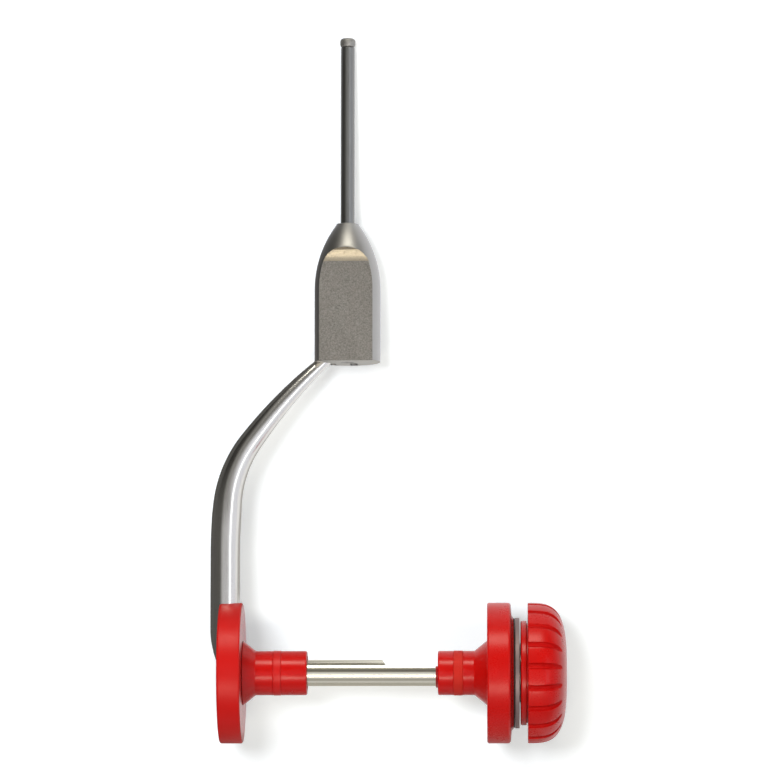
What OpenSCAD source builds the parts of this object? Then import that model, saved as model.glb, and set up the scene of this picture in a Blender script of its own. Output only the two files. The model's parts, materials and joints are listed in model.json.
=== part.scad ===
// Bobbin holder for fly tying, with two spool hubs, a sliding drag unit and an adjusting knob.
// It lies on a table: the tube points along +Y and the spool axis runs along X.

/* [Thread tube] */
// Outer diameter of the thread tube
tube_d = 2.32; // [2:0.02:3]
// Bore of the thread tube
tube_bore_d = 1.5; // [1:0.1:1.6]
// Length of the tube that stands out of the body
tube_len = 30.05; // [20:0.05:50]
// Diameter of the ceramic ring at the tip
tip_d = 2.58; // [2.4:0.02:4]
// Length of the ring's head
tip_len = 1.7; // [1:0.1:3]
// Thread bore of the ring
tip_bore_d = 1; // [0.6:0.05:1.2]
// Rounding of the ring's edges
tip_round = 0.4; // [0.1:0.05:0.5]
// Length of the ring's shank inside the tube
tip_shank = 2.5; // [1:0.5:5]

/* [Body] */
// Diameter of the body
body_d = 10.96; // [9.6:0.02:14]
// Length of the body's straight part
body_straight = 12; // [9:0.5:20]
// Length of the body's pointed part
ogive_len = 11.15; // [10.5:0.05:11.5]
// Radius of the pointed part's curve
ogive_r = 18.35; // [18:0.05:26]
// Height of the milled flat above the tube's axis
flat_h = 3.23; // [2.6:0.01:4]
// Turn of the flat about the tube's axis
flat_turn = -3.5; // [-10:0.5:10]
// Length of the flat up to where the cutter runs out
flat_len = 16.9; // [12:0.1:18]
// Radius of the cutter's run-out
flat_cutter_r = 3.4; // [2:0.1:5]
// Depth of the tube's seat in the body
tube_seat = 18; // [8:0.5:19]
// Diameter of the eyelet at the thread's entry
eyelet_d = 2.2; // [1.8:0.1:2.4]
// Depth of the eyelet
eyelet_len = 1; // [0.6:0.1:2]

/* [Arm] */
// Diameter of the arm at its full size
arm_d = 4.92; // [3.6:0.02:5]
// Diameter of the arm's thin end in the body
arm_top_d = 2.2; // [1.8:0.1:2.4]
// Length over which the arm tapers
arm_taper_len = 33.6; // [20:0.1:40]
// Height of the arm's curled toe above the spool axis
toe_h = 7.5; // [6.5:0.1:9]
// Centre radius of the toe's curl
toe_r = 12.9; // [11:0.1:16]
// Length of the arm's straight part
arm_straight = 12.7; // [10:0.1:30]
// Radius of the first, slight bend
low_bend_r = 95; // [60:1:140]
// Angle of the first, slight bend
low_bend_turn = 5; // [2:0.5:8]
// Radius of the main bend
main_bend_r = 20.4; // [15:0.1:30]
// Angle of the main bend
main_bend_turn = 31; // [25:0.5:36]
// Radius of the long bend that leads to the body
top_bend_r = 75; // [60:1:90]
// Angle of the long bend
top_bend_turn = 14; // [10:0.5:18]
// Radius of the knee inside the body
knee_r = 3; // [2:0.1:4]
// Length of the arm's end that is pressed into the body
tenon_len = 3.5; // [2:0.1:5]
// Distance of that end from the tube's axis
tenon_off = 2.68; // [2.6:0.02:3]

/* [Spool room] */
// Diameter of the guard disc and of the hub's flange
disc_d = 23.4; // [20:0.1:30]
// Thickness of the guard disc
disc_t = 3.83; // [3.6:0.01:6]
// How far the guard disc stands out past the arm's centre line
disc_setback = 0.8; // [0.6:0.05:1.2]
// Rounding of the discs' edges
disc_round = 0.35; // [0.1:0.05:0.8]
// Distance between the guard disc and the flange
spool_room = 40.7; // [36:0.1:44]
// Diameter of the bosses that enter the spool
boss_d = 7.4; // [7.3:0.05:8.5]
// Length of the left boss
left_boss_len = 8.6; // [7:0.1:10]
// Length of the right boss
right_boss_len = 6.1; // [5.5:0.1:8]
// Length of the left cone
left_cone_len = 2.1; // [1.5:0.1:4]
// Base diameter of the left cone
left_cone_d = 10.8; // [9:0.1:16]
// Length of the right cone
right_cone_len = 2.1; // [1.5:0.1:4]
// Base diameter of the right cone
right_cone_d = 10.8; // [9:0.1:16]
// Width of the left grip ring
left_grip_w = 1.35; // [1:0.05:2]
// Width of the right grip ring
right_grip_w = 1.6; // [1:0.05:2]
// Distance of the left grip ring's middle from the boss's end
left_grip_at = 5; // [4:0.1:6]
// Distance of the right grip ring's middle from the boss's end
right_grip_at = 3.4; // [2.8:0.1:4]
// Depth of the grip rings' grooves
grip_depth = 0.4; // [0.2:0.05:0.5]
// How far the grip rings stand proud
grip_proud = 0.04; // [0.02:0.01:0.07]

/* [Shaft] */
// Diameter of the shaft
shaft_d = 4.46; // [4:0.02:4.5]
// Length of the shaft out of the guard disc
shaft_reach = 43.5; // [42:0.1:44]
// Length of the shaft's round part
round_reach = 21.85; // [20:0.05:22]
// Length of the flat's slanted run-out
runout_len = 1.85; // [1:0.05:3]
// Height of the flat above the shaft's axis
shaft_flat_h = 0.8; // [0.6:0.05:1.2]
// Diameter of the shaft's spigot in the arm
spigot_d = 3; // [2.4:0.1:3.2]
// Diameter of the screw that holds the spigot
screw_d = 1.6; // [1.2:0.1:1.8]
// Diameter of the screw's head
screw_head_d = 3.6; // [3:0.1:4]
// Height of the screw's head
screw_head_t = 0.9; // [0.6:0.05:1]

/* [Drag unit] */
// Outer diameter of the slide tube
core_d = 5.24; // [5.14:0.02:5.4]
// Outer diameter of the slide tube's threaded end
thread_d = 6; // [5.8:0.05:6.4]
// Diameter of the key nose
nose_d = 5.66; // [5.6:0.02:5.8]
// Height of the nose's flat above the axis
nose_flat_h = 1.4; // [1.2:0.05:2]
// Length of the nose in front of the boss
nose_lip = 0.35; // [0.2:0.05:1]
// Thickness of the hub's flange
flange_t = 3.9; // [3:0.1:6]
// Diameter of the flange's raised face
pad_d = 18.3; // [14:0.1:20]
// Height of the flange's raised face
pad_t = 0.5; // [0.2:0.05:1]
// Thickness of the friction disc
friction_t = 0.22; // [0.15:0.01:0.5]
// Diameter of the pressure disc
pressure_d = 18.4; // [14:0.1:20]
// Thickness of the pressure disc
pressure_t = 0.7; // [0.5:0.05:1]

/* [Knob] */
// Diameter of the knob
knob_d = 23.34; // [20:0.02:30]
// Length of the knob's ribbed part
knob_len = 6.5; // [6:0.1:8]
// Diameter of the knob's collar
collar_d = 17.4; // [14:0.1:20]
// Length of the knob's collar
collar_len = 1.2; // [1:0.1:3]
// Gap between the pressure disc and the collar
knob_gap = 0.2; // [0.18:0.01:0.4]
// Squareness of the dome: 2 is an ellipse, more is squarer
dome_power = 3.45; // [2.8:0.05:4]
// Number of grooves round the knob
groove_count = 20; // [12:1:28]
// Width of a groove
groove_w = 0.9; // [0.6:0.05:1.2]
// Depth of a groove
groove_depth = 0.4; // [0.2:0.05:0.5]
// Diameter of the cap in the knob's end
cap_d = 10; // [8:0.1:12]
// Thickness of the cap at its rim
cap_t = 1; // [0.8:0.05:1.2]
// Thickness of the threaded nut in the knob
nut_t = 2; // [1.5:0.1:2.2]
// Diameter of the nut
nut_d = 9; // [8:0.1:9.4]

/* [Hidden] */
$fn = 72;

// clearances
fit_gap = 0.02;
run_gap = 0.05;
face_gap = 0.05;
overrun = 1;

// facet counts of the arm's sweep
arm_sides = 24;
toe_steps = 10;
slight_steps = 3;
bend_steps = 10;
knee_steps = 8;
toe_turn = 62;

// radii of the round pieces
tube_r = tube_d / 2;
body_r = body_d / 2;
disc_r = disc_d / 2;
boss_r = boss_d / 2;
shaft_r = shaft_d / 2;
core_r = core_d / 2;
thread_r = thread_d / 2;
nose_r = nose_d / 2;
grip_floor_r = boss_r - grip_depth;
grip_top_r = boss_r + grip_proud;

// the arm's route, from its toe below the spool axis to its end in the body:
// each bend is [radius, angle], and a negative pair bends the other way
top_heading = low_bend_turn + main_bend_turn + top_bend_turn;
arm_bends = [[low_bend_r, low_bend_turn], [main_bend_r, main_bend_turn],
             [top_bend_r, top_bend_turn], [-knee_r, -top_heading]];
bend_counts = [slight_steps, bend_steps, bend_steps, knee_steps];

function heading(i) = i == 0 ? 0 : heading(i - 1) + arm_bends[i - 1][1];
function bend_step(at, h, bend) =
    at + bend[0] * [cos(h) - cos(h + bend[1]), sin(h + bend[1]) - sin(h)];
function bend_start(i) =
    i == 0 ? [0, 0] : bend_step(bend_start(i - 1), heading(i - 1), arm_bends[i - 1]);

arm_span = bend_start(4);
arm_off = tenon_off + arm_span[0];
bends_y = toe_h + arm_straight;
arm_foot = [-arm_off, bends_y];
body_lift = 0.25;
body_y = bends_y + bend_start(3)[1] + body_lift;

// a point of the route is [x, y, heading]
function bend_points(i) = [for (k = [1:bend_counts[i]])
    let (part = [arm_bends[i][0], arm_bends[i][1] * k / bend_counts[i]],
         at = arm_foot + bend_step(bend_start(i), heading(i), part))
    [at[0], at[1], heading(i) + part[1]]];
toe_points = [for (k = [0:toe_steps]) let (h = -toe_turn * (1 - k / toe_steps))
    [-arm_off + toe_r * (1 - cos(h)), toe_h + toe_r * sin(h), h]];
arm_end = arm_foot + arm_span;
arm_points = concat(toe_points, [[-arm_off, bends_y, 0]],
    [for (i = [0:len(arm_bends) - 1]) each bend_points(i)],
    [[arm_end[0], arm_end[1] + tenon_len, 0]]);

// the arm's radius at point k, from the length left to the end of the route
function leg(k) = norm([arm_points[k + 1][0] - arm_points[k][0],
                        arm_points[k + 1][1] - arm_points[k][1]]);
function length_left(k) = k >= len(arm_points) - 1 ? 0 : leg(k) + length_left(k + 1);
function arm_radius(k) = min(arm_d / 2,
    arm_top_d / 2 + (arm_d - arm_top_d) / 2 * max(0, length_left(k) - tenon_len) / arm_taper_len);

// stations along the spool axis, left to right
disc_x = -arm_off - disc_setback;
disc_inner_x = disc_x + disc_t;
toe_cover = 0.5;
toe_flat_x = disc_inner_x - toe_cover;
screw_seat_x = disc_x + screw_head_t + face_gap;
spigot_short = 0.2;
left_hub_x = disc_inner_x + face_gap;
left_hub_len = left_cone_len + left_boss_len;
left_end_x = left_hub_x + left_hub_len;
flange_x = disc_inner_x + spool_room;
right_cone_x = flange_x - right_cone_len;
right_end_x = right_cone_x - right_boss_len;
nose_x = right_end_x - nose_lip;
pad_x = flange_x + flange_t;
friction_x = pad_x + pad_t;
pressure_x = friction_x + friction_t + face_gap;
pressure_end_x = pressure_x + pressure_t;
collar_x = pressure_end_x + knob_gap;
knob_x = collar_x + collar_len;
knob_end_x = knob_x + knob_len;

// left thrust washer and retaining clip
washer_t = 0.4;
washer_d = 7;
clip_t = 0.4;
clip_grip = 0.35;
clip_wall = 0.62;
clip_sink = 0.5;
clip_room = 1;
clip_x = left_end_x - clip_room + face_gap;

// key nose, slide tube and leaf spring
nose_len = 1.5;
nose_recess = 0.5;
mouth_len = nose_len - nose_lip + face_gap;
tube_step_back = 0.9;
step_x = friction_x - tube_step_back;
step_room = 0.25;
key_flat_h = core_r;
leaf_t = 0.2;
leaf_w = 2;
leaf_rise = 0.95;
leaf_len = 8;
leaf_x = nose_x + nose_len + overrun;
leaf_steps = 12;

// spring, seat, nut, stop clip and cap inside the knob
seat_t = 0.5;
spring_len = 1.9;
spring_t = 0.35;
spring_d = 9.8;
seat_x = pressure_end_x + spring_len + 2 * face_gap;
seat_d = 9.8;
nut_x = seat_x + seat_t + face_gap;
nut_end_x = nut_x + nut_t;
knob_travel = 1.15;
stop_x = nut_end_x + knob_travel;
stop_t = 0.35;
stop_wall = 0.7;
core_end_x = stop_x + stop_t + face_gap;
chamber_d = 10.4;
cap_rise = knob_len * (1 - pow(1 - pow(cap_d / knob_d, dome_power), 1 / dome_power));
cap_x = knob_end_x - cap_rise - cap_t;

// how the holder lies: both discs and the tip ring touch the table
tube_x0 = body_y + body_straight + ogive_len - tube_seat;
tube_top = body_y + body_straight + ogive_len + tube_len;
tip_low = tube_top + tip_round;
tip_high = tube_top + tip_len - tip_round;
tip_core_r = tip_d / 2 - tip_round;
tilt = asin((disc_r - tip_round) / norm([tip_high, tip_core_r])) - atan2(tip_core_r, tip_high);

// the row's origin lies under the middle of the whole outline
far_y = tip_high * cos(tilt) + tip_core_r * sin(tilt) + tip_round;
mid_y = (far_y - disc_r) / 2;
mid_x = (knob_end_x - arm_off - arm_d / 2) / 2;

// placing: the whole holder, a piece on the tube's axis and a piece on the spool axis
module laid() {
    translate([-mid_x, -mid_y, disc_r]) rotate([-tilt, 0, 0]) children();
}

module on_tube(y) {
    laid() translate([0, y, 0]) rotate([-90, 0, 0]) children();
}

module on_axis(x) {
    laid() translate([x, 0, 0]) rotate([0, 90, 0]) children();
}

// a ring with its faces at zero and at its length
module ring(outer, inner, length) {
    difference() {
        cylinder(d = outer, h = length);
        translate([0, 0, -overrun]) cylinder(d = inner, h = length + 2 * overrun);
    }
}

// a cylinder with both outer edges rounded
module round_disc(d, t, edge) {
    rotate_extrude() union() {
        square([d / 2 - edge, t]);
        translate([0, edge]) square([d / 2, t - 2 * edge]);
        for (at = [edge, t - edge]) translate([d / 2 - edge, at]) circle(r = edge);
    }
}

// a round bar with a flat on the side that faces the body
module flat_bar(d, h, length) {
    difference() {
        cylinder(d = d, h = length);
        translate([-d, h, -overrun]) cube([2 * d, d, length + 2 * overrun]);
    }
}

// a round bar with two flats, one on each side
module keyed_bar(d, h, length) {
    intersection() {
        cylinder(d = d, h = length);
        translate([-d, -h, -overrun]) cube([2 * d, 2 * h, length + 2 * overrun]);
    }
}

// a tube through route points, with a radius for each point
module sweep(sections) {
    count = len(sections);
    sides = len(sections[0]);
    points = [for (section = sections) each section];
    walls = [for (k = [0:count - 2], s = [0:sides - 1])
        let (a = k * sides + s, b = k * sides + (s + 1) % sides)
        each [[a, b, b + sides], [a, b + sides, a + sides]]];
    first = [[for (s = [sides - 1:-1:0]) s]];
    last = [[for (s = [0:sides - 1]) (count - 1) * sides + s]];
    polyhedron(points = points, faces = concat(walls, first, last));
}

// the arm's outline, grown by a clearance
module arm_bar(grow) {
    sweep([for (k = [0:len(arm_points) - 1])
        let (p = arm_points[k], r = arm_radius(k) + grow)
        [for (s = [0:arm_sides - 1]) let (t = 360 * s / arm_sides)
            [p[0] + r * cos(t) * cos(p[2]), p[1] - r * cos(t) * sin(p[2]), r * sin(t)]]]);
}

// the part of the arm that is left once its toe is milled flat
module milled_arm(grow) {
    difference() {
        arm_bar(grow);
        translate([toe_flat_x + grow, -disc_r, -arm_d]) cube([disc_r, disc_r + toe_h, 2 * arm_d]);
    }
}

module thread_tube() {
    color("#3f4140") on_tube(tube_x0)
        ring(tube_d, tube_bore_d, tube_seat + tube_len);
}

module tip_ring() {
    color("#8c8478") difference() {
        union() {
            on_tube(tube_top) round_disc(tip_d, tip_len, tip_round);
            on_tube(tube_top - tip_shank) cylinder(d = tube_bore_d, h = tip_shank + tip_round);
        }
        on_tube(tube_top - tip_shank - overrun)
            cylinder(d = tip_bore_d, h = tip_shank + tip_len + 2 * overrun);
    }
}

module entry_eyelet() {
    color("#8c8478") on_tube(body_y) ring(eyelet_d, tip_bore_d, eyelet_len);
}

// two small blind holes near the back of the body's end face
back_holes = [[-2.45, 0.85], [1, 1.3]];
back_hole_z = 3.6;
back_hole_depth = 2;

// the pointed part's outline is an arc, cut off with a small rounding at the tube
ogive_steps = 24;
ogive_round = 0.3;
function ogive_width(y) = body_r - ogive_r + sqrt(ogive_r * ogive_r - y * y);
ogive_corner = [ogive_width(ogive_len) - ogive_round, ogive_len - ogive_round];
ogive = concat([[body_r, 0]],
    [for (k = [0:ogive_steps]) let (y = ogive_corner[1] * k / ogive_steps)
        [ogive_width(y), y + fit_gap]],
    [for (a = [15:15:90]) [ogive_corner[0] + ogive_round * cos(a),
                           ogive_corner[1] + fit_gap + ogive_round * sin(a)]]);

module handle_body() {
    runout_y = body_y + flat_len;
    color("#8d8b86") difference() {
        on_tube(body_y) {
            cylinder(d = body_d, h = body_straight);
            translate([0, 0, body_straight - fit_gap]) rotate_extrude()
                polygon(concat([[0, 0]], ogive, [[0, ogive_len + fit_gap]]));
        }
        laid() rotate([0, flat_turn, 0]) {
            translate([-body_d, body_y - overrun, flat_h])
                cube([2 * body_d, flat_len + overrun, body_d]);
            translate([-body_d, runout_y, flat_h + flat_cutter_r]) rotate([0, 90, 0])
                cylinder(r = flat_cutter_r, h = 2 * body_d);
        }
        on_tube(tube_x0) cylinder(d = tube_d, h = tube_seat + overrun);
        on_tube(body_y - overrun) cylinder(d = tube_bore_d, h = body_d + 2 * overrun);
        on_tube(body_y - overrun) cylinder(d = eyelet_d, h = eyelet_len + overrun);
        for (hole = back_holes) laid() translate([hole[0], body_y - overrun, -back_hole_z])
            rotate([-90, 0, 0]) cylinder(d = hole[1], h = back_hole_depth + overrun);
        laid() arm_bar(fit_gap);
    }
}

module arm() {
    color("#b9b7b2") difference() {
        laid() milled_arm(0);
        on_axis(disc_x - overrun) cylinder(d = spigot_d, h = disc_t + 2 * overrun);
        on_axis(disc_x - arm_d) cylinder(d = screw_head_d, h = screw_seat_x - disc_x + arm_d);
    }
}

module guard_disc() {
    color("#c81a1a") difference() {
        on_axis(disc_x) round_disc(disc_d, disc_t, disc_round);
        laid() milled_arm(fit_gap);
        on_axis(disc_x - overrun) cylinder(d = screw_head_d, h = screw_seat_x - disc_x + overrun);
        on_axis(toe_flat_x - overrun) cylinder(d = shaft_d, h = toe_cover + 2 * overrun);
        on_axis(disc_inner_x - washer_t)
            cylinder(d = washer_d, h = washer_t + overrun);
    }
}

module shaft() {
    flat_x = disc_inner_x + round_reach;
    end_x = disc_inner_x + shaft_reach;
    color("#c9c5bb") difference() {
        union() {
            on_axis(toe_flat_x) cylinder(d = shaft_d, h = end_x - toe_flat_x);
            on_axis(screw_seat_x + spigot_short)
                cylinder(d = spigot_d, h = toe_flat_x - screw_seat_x);
        }
        laid() translate([0, 0, -shaft_d]) linear_extrude(2 * shaft_d) polygon([
            [flat_x, shaft_d], [flat_x, shaft_r], [flat_x + runout_len, shaft_flat_h],
            [end_x + overrun, shaft_flat_h], [end_x + overrun, shaft_d]]);
        on_axis(clip_x - face_gap) ring(shaft_d + overrun, shaft_d - 2 * clip_grip,
                                        clip_t + 2 * face_gap);
        on_axis(disc_x) cylinder(d = screw_d, h = toe_flat_x - disc_x);
    }
}

module shaft_screw() {
    color("#a8a6a0") {
        on_axis(screw_seat_x - screw_head_t) difference() {
            cylinder(d = screw_head_d, h = screw_head_t);
            translate([-screw_head_d, -spigot_short, -overrun])
                cube([2 * screw_head_d, 2 * spigot_short, overrun + screw_head_t / 2]);
        }
        on_axis(screw_seat_x - face_gap)
            cylinder(d = screw_d, h = toe_flat_x - screw_seat_x - spigot_short);
    }
}

module left_washer() {
    color("#d8d2c0") on_axis(disc_inner_x - washer_t)
        ring(washer_d - 2 * run_gap, shaft_d + 2 * run_gap, washer_t);
}

module left_clip() {
    color("#8f8d88") on_axis(clip_x)
        ring(shaft_d + 2 * clip_wall, shaft_d - 2 * clip_grip + 2 * fit_gap, clip_t);
}

// a boss and its cone about the spool axis, with the boss's end at zero
module boss_and_cone(boss_len, cone_len, cone_d) {
    cylinder(d = boss_d, h = boss_len + fit_gap);
    translate([0, 0, boss_len]) cylinder(d1 = boss_d, d2 = cone_d, h = cone_len);
}

// the groove that holds a grip ring
module grip_groove(at, width) {
    translate([0, 0, at - width / 2])
        ring(boss_d + 2 * overrun, 2 * grip_floor_r, width);
}

module grip_ring(width) {
    difference() {
        translate([0, 0, -width / 2])
            round_disc(2 * grip_top_r, width, grip_depth / 2);
        translate([0, 0, -width]) cylinder(r = grip_floor_r, h = 2 * width);
    }
}

module left_hub() {
    color("#cc1c1c") on_axis(left_end_x) rotate([0, 180, 0]) difference() {
        boss_and_cone(left_boss_len, left_cone_len, left_cone_d);
        translate([0, 0, -overrun])
            cylinder(d = shaft_d + 2 * run_gap, h = left_hub_len + 2 * overrun);
        translate([0, 0, -overrun])
            cylinder(d = shaft_d + 2 * clip_wall + 4 * run_gap, h = clip_room + overrun);
        grip_groove(left_grip_at, left_grip_w);
    }
}

module left_grip_ring() {
    color("#c22020") on_axis(left_end_x - left_grip_at) grip_ring(left_grip_w);
}

module key_nose() {
    color("#8e1416") on_axis(nose_x) difference() {
        union() {
            flat_bar(nose_d, nose_flat_h, nose_len);
            translate([0, 0, nose_lip]) cylinder(d = nose_d, h = nose_len - nose_lip);
        }
        translate([0, 0, -overrun])
            flat_bar(shaft_d + 2 * run_gap, shaft_flat_h + run_gap, nose_len + 2 * overrun);
        translate([0, 0, nose_len - nose_recess])
            cylinder(d = core_d - fit_gap, h = nose_recess + overrun);
    }
}

module slide_tube() {
    end = core_end_x - step_x;
    color("#c2a25a") difference() {
        union() {
            on_axis(nose_x + nose_len - nose_recess)
                cylinder(d = core_d - fit_gap, h = step_x - nose_x - nose_len + nose_recess);
            on_axis(step_x) keyed_bar(thread_d, key_flat_h, pressure_end_x + face_gap - step_x);
            on_axis(pressure_end_x) cylinder(d = thread_d, h = core_end_x - pressure_end_x);
        }
        on_axis(nose_x) cylinder(d = shaft_d + 2 * run_gap, h = core_end_x - nose_x + overrun);
        on_axis(stop_x - face_gap)
            ring(thread_d + overrun, thread_d - clip_grip, stop_t + 2 * face_gap);
    }
}

// a bowed strip that presses on the shaft's flat
module leaf_spring() {
    low = shaft_flat_h + run_gap;
    bow = [for (i = [0:leaf_steps]) let (u = 2 * i / leaf_steps - 1)
        [leaf_x + leaf_len * (u + 1) / 2, low + leaf_rise * u * u]];
    back = [for (i = [leaf_steps:-1:0]) bow[i] + [0, leaf_t]];
    color("#b0aea8") laid() translate([0, 0, -leaf_w / 2])
        linear_extrude(leaf_w) polygon(concat(bow, back));
}

module pressure_disc() {
    color("#a9a7a2") on_axis(pressure_x) difference() {
        round_disc(pressure_d, pressure_t, face_gap);
        translate([0, 0, -overrun])
            keyed_bar(thread_d + 2 * run_gap, key_flat_h + run_gap, pressure_t + 2 * overrun);
    }
}

module stop_clip() {
    color("#8f8d88") on_axis(stop_x)
        ring(thread_d + 2 * stop_wall, thread_d - clip_grip + 2 * fit_gap, stop_t);
}

module right_hub() {
    length = friction_x - right_end_x;
    color("#cc1c1c") on_axis(right_end_x) difference() {
        union() {
            boss_and_cone(right_boss_len, right_cone_len, right_cone_d);
            translate([0, 0, flange_x - right_end_x]) round_disc(disc_d, flange_t, disc_round);
            translate([0, 0, pad_x - right_end_x - fit_gap]) cylinder(d = pad_d, h = pad_t + fit_gap);
        }
        translate([0, 0, -overrun])
            cylinder(d = core_d + 2 * run_gap, h = length + 2 * overrun);
        translate([0, 0, -overrun]) cylinder(d = nose_d + 4 * run_gap, h = mouth_len + overrun);
        translate([0, 0, step_x - right_end_x - step_room])
            cylinder(d = thread_d + 2 * step_room, h = length);
        grip_groove(right_grip_at, right_grip_w);
    }
}

module right_grip_ring() {
    color("#c22020") on_axis(right_end_x + right_grip_at) grip_ring(right_grip_w);
}

module friction_disc() {
    color("#2b2626") on_axis(friction_x)
        ring(pad_d - 2 * face_gap, thread_d + 2 * step_room, friction_t);
}

// a conical spring washer: its rim bears on the pressure disc, its inner edge on the seat
module drag_spring() {
    rim_r = spring_d / 2;
    bore_r = thread_d / 2 + step_room;
    edge = spring_t / 2;
    color("#b0aea8") on_axis(pressure_end_x + face_gap)
        rotate_extrude() polygon([[rim_r - spring_t, 0], [rim_r, 0], [rim_r, edge],
            [bore_r + spring_t, spring_len], [bore_r, spring_len], [bore_r, spring_len - edge]]);
}

module spring_seat() {
    color("#a9a7a2") on_axis(seat_x) ring(seat_d, thread_d + 2 * run_gap, seat_t);
}

// the ribbed part's outline, from the collar's side to the middle of the dome
function dome_r(u) = knob_d / 2 * pow(1 - pow(u, dome_power), 1 / dome_power);
dome_steps = 24;
dome = [for (k = [0:dome_steps]) let (u = sin(90 * k / dome_steps)) [dome_r(u), knob_len * u]];

// one groove along the side and round the dome's shoulder
module groove() {
    side = knob_d / 2 + groove_w / 2 - groove_depth;
    shoulder = knob_len / 2;
    translate([side, 0, -overrun]) cylinder(d = groove_w, h = shoulder + overrun, $fn = 24);
    translate([side - shoulder, 0, shoulder]) rotate([90, 0, 0])
        rotate_extrude(angle = 75) translate([shoulder, 0]) circle(d = groove_w, $fn = 24);
}

first_groove = 86.6;

module adjusting_knob() {
    color("#d01e1c") on_axis(knob_x) difference() {
        union() {
            rotate_extrude() polygon(concat([[0, 0]], dome));
            translate([0, 0, -collar_len]) cylinder(d = collar_d, h = collar_len + fit_gap);
        }
        for (i = [0:groove_count - 1]) rotate([0, 0, first_groove + 360 * i / groove_count]) groove();
        translate([0, 0, -collar_len - overrun])
            cylinder(d = chamber_d, h = nut_x - knob_x + collar_len + overrun);
        translate([0, 0, nut_x - knob_x - fit_gap]) cylinder(d = nut_d, h = nut_t + fit_gap);
        translate([0, 0, nut_end_x - knob_x - fit_gap])
            cylinder(d = thread_d + 3 * stop_wall, h = cap_x - nut_end_x + 2 * fit_gap);
        translate([0, 0, cap_x - knob_x]) cylinder(d = cap_d, h = knob_len);
    }
}

module knob_nut() {
    color("#c2a25a") on_axis(nut_x) ring(nut_d, thread_d + 2 * run_gap, nut_t);
}

module knob_cap() {
    color("#d01e1c") on_axis(knob_x) intersection() {
        rotate_extrude() polygon(concat([[0, 0]], dome));
        translate([0, 0, cap_x - knob_x]) cylinder(d = cap_d - 2 * fit_gap, h = knob_len);
    }
}

thread_tube();
tip_ring();
entry_eyelet();
handle_body();
arm();
guard_disc();
shaft();
shaft_screw();
left_washer();
left_clip();
left_hub();
left_grip_ring();
key_nose();
slide_tube();
leaf_spring();
pressure_disc();
stop_clip();
right_hub();
right_grip_ring();
friction_disc();
drag_spring();
spring_seat();
adjusting_knob();
knob_nut();
knob_cap();
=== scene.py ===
import json
import math

import bpy
from mathutils import Matrix, Vector


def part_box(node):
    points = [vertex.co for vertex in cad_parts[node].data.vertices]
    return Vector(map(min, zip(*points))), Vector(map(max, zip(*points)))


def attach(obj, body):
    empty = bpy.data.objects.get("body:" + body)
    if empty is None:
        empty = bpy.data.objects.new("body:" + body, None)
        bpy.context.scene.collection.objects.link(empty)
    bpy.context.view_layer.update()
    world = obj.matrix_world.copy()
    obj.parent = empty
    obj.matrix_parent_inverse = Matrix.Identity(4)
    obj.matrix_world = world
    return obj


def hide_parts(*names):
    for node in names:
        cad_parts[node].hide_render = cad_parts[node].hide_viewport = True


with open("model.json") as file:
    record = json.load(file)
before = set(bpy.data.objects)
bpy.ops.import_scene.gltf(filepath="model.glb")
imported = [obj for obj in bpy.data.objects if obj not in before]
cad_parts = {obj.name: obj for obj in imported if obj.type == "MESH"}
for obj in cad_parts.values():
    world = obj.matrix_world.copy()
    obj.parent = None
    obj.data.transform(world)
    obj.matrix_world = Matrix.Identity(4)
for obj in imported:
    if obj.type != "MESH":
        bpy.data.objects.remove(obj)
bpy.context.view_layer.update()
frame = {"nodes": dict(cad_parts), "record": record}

bl_info = {
    "name": "Bobbin Holder",
    "version": (1, 0, 0),
    "blender": (4, 5, 0),
    "location": "3D View > Sidebar > Bobbin Holder",
    "description": "Dresses the packed frame of a fly-tying bobbin holder with modelled pieces",
    "category": "Object",
}

MM = 0.001

# The holder's own frame: along the spool axis, along the thread tube and out of the front,
# with its origin where the tube's axis crosses the spool axis.
mounts = {mount["name"]: mount for mount in frame["record"]["mounts"]}
seat_at = Vector(mounts["left_spool_seat"]["pos_m"])
tip_at = Vector(mounts["thread_tip"]["pos_m"])
tube_way = Vector(mounts["thread_tip"]["axis"]).normalized()
spool_way = Vector((1.0, 0.0, 0.0))
front_way = spool_way.cross(tube_way)
crossing = Vector((tip_at.x, seat_at.y, seat_at.z))
axes = Matrix((spool_way, tube_way, front_way)).transposed().to_4x4()
laid = Matrix.Translation(crossing) @ axes @ Matrix.Scale(MM, 4)

boss_r = mounts["left_spool_seat"]["dims"]["r_mm"]
tip_bore_r = mounts["thread_tip"]["dims"]["r_mm"]
tip_top = (tip_at - crossing).dot(tube_way) / MM + mounts["thread_tip"]["dims"]["length_mm"] / 2


def round_box(node):
    """Ends along the spool axis and radius of a node that is round about it, in millimetres."""
    low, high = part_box(node)
    return (low.x - crossing.x) / MM, (high.x - crossing.x) / MM, (high.z - low.z) / 2 / MM


def along_spool(node):
    """Where a node begins and ends along the spool axis, in millimetres."""
    return round_box(node)[:2]


def end_face(node, radius):
    """The height along the tube's axis of a node's lower end face of a given radius."""
    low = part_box(node)[0]
    return ((low.y - crossing.y) / MM - radius * tube_way.z) / tube_way.y


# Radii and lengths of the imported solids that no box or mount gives, in millimetres
EYELET_R = 1.1
EYELET_LEN = 1.0
SPIGOT_R = 1.5
SCREW_HOLE_R = 0.8
SCREW_HOLE_LEN = 2.8
SCREW_HEAD_R = 1.8
CLIP_GROOVE_R = 1.88
LEFT_MOUTH_R = 2.95
CHAMBER_R = 5.2
CAP_SEAT_R = 4.05
RUN_GAP = 0.05

# Each slot in the body's end: place across, half width and how far down it reaches
SLOTS = ((-2.45, 0.43, 3.9), (1.0, 0.65, 4.5))
SLOT_TOP = 2.2
SLOT_DEPTH = 3.0

# Radius, degrees and steps of each bend from the arm's straight part to the body
ARM_BENDS = ((95.0, 5.0, 4), (20.4, 31.0, 22), (75.0, 14.0, 10), (-3.0, -50.0, 12))

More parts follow.
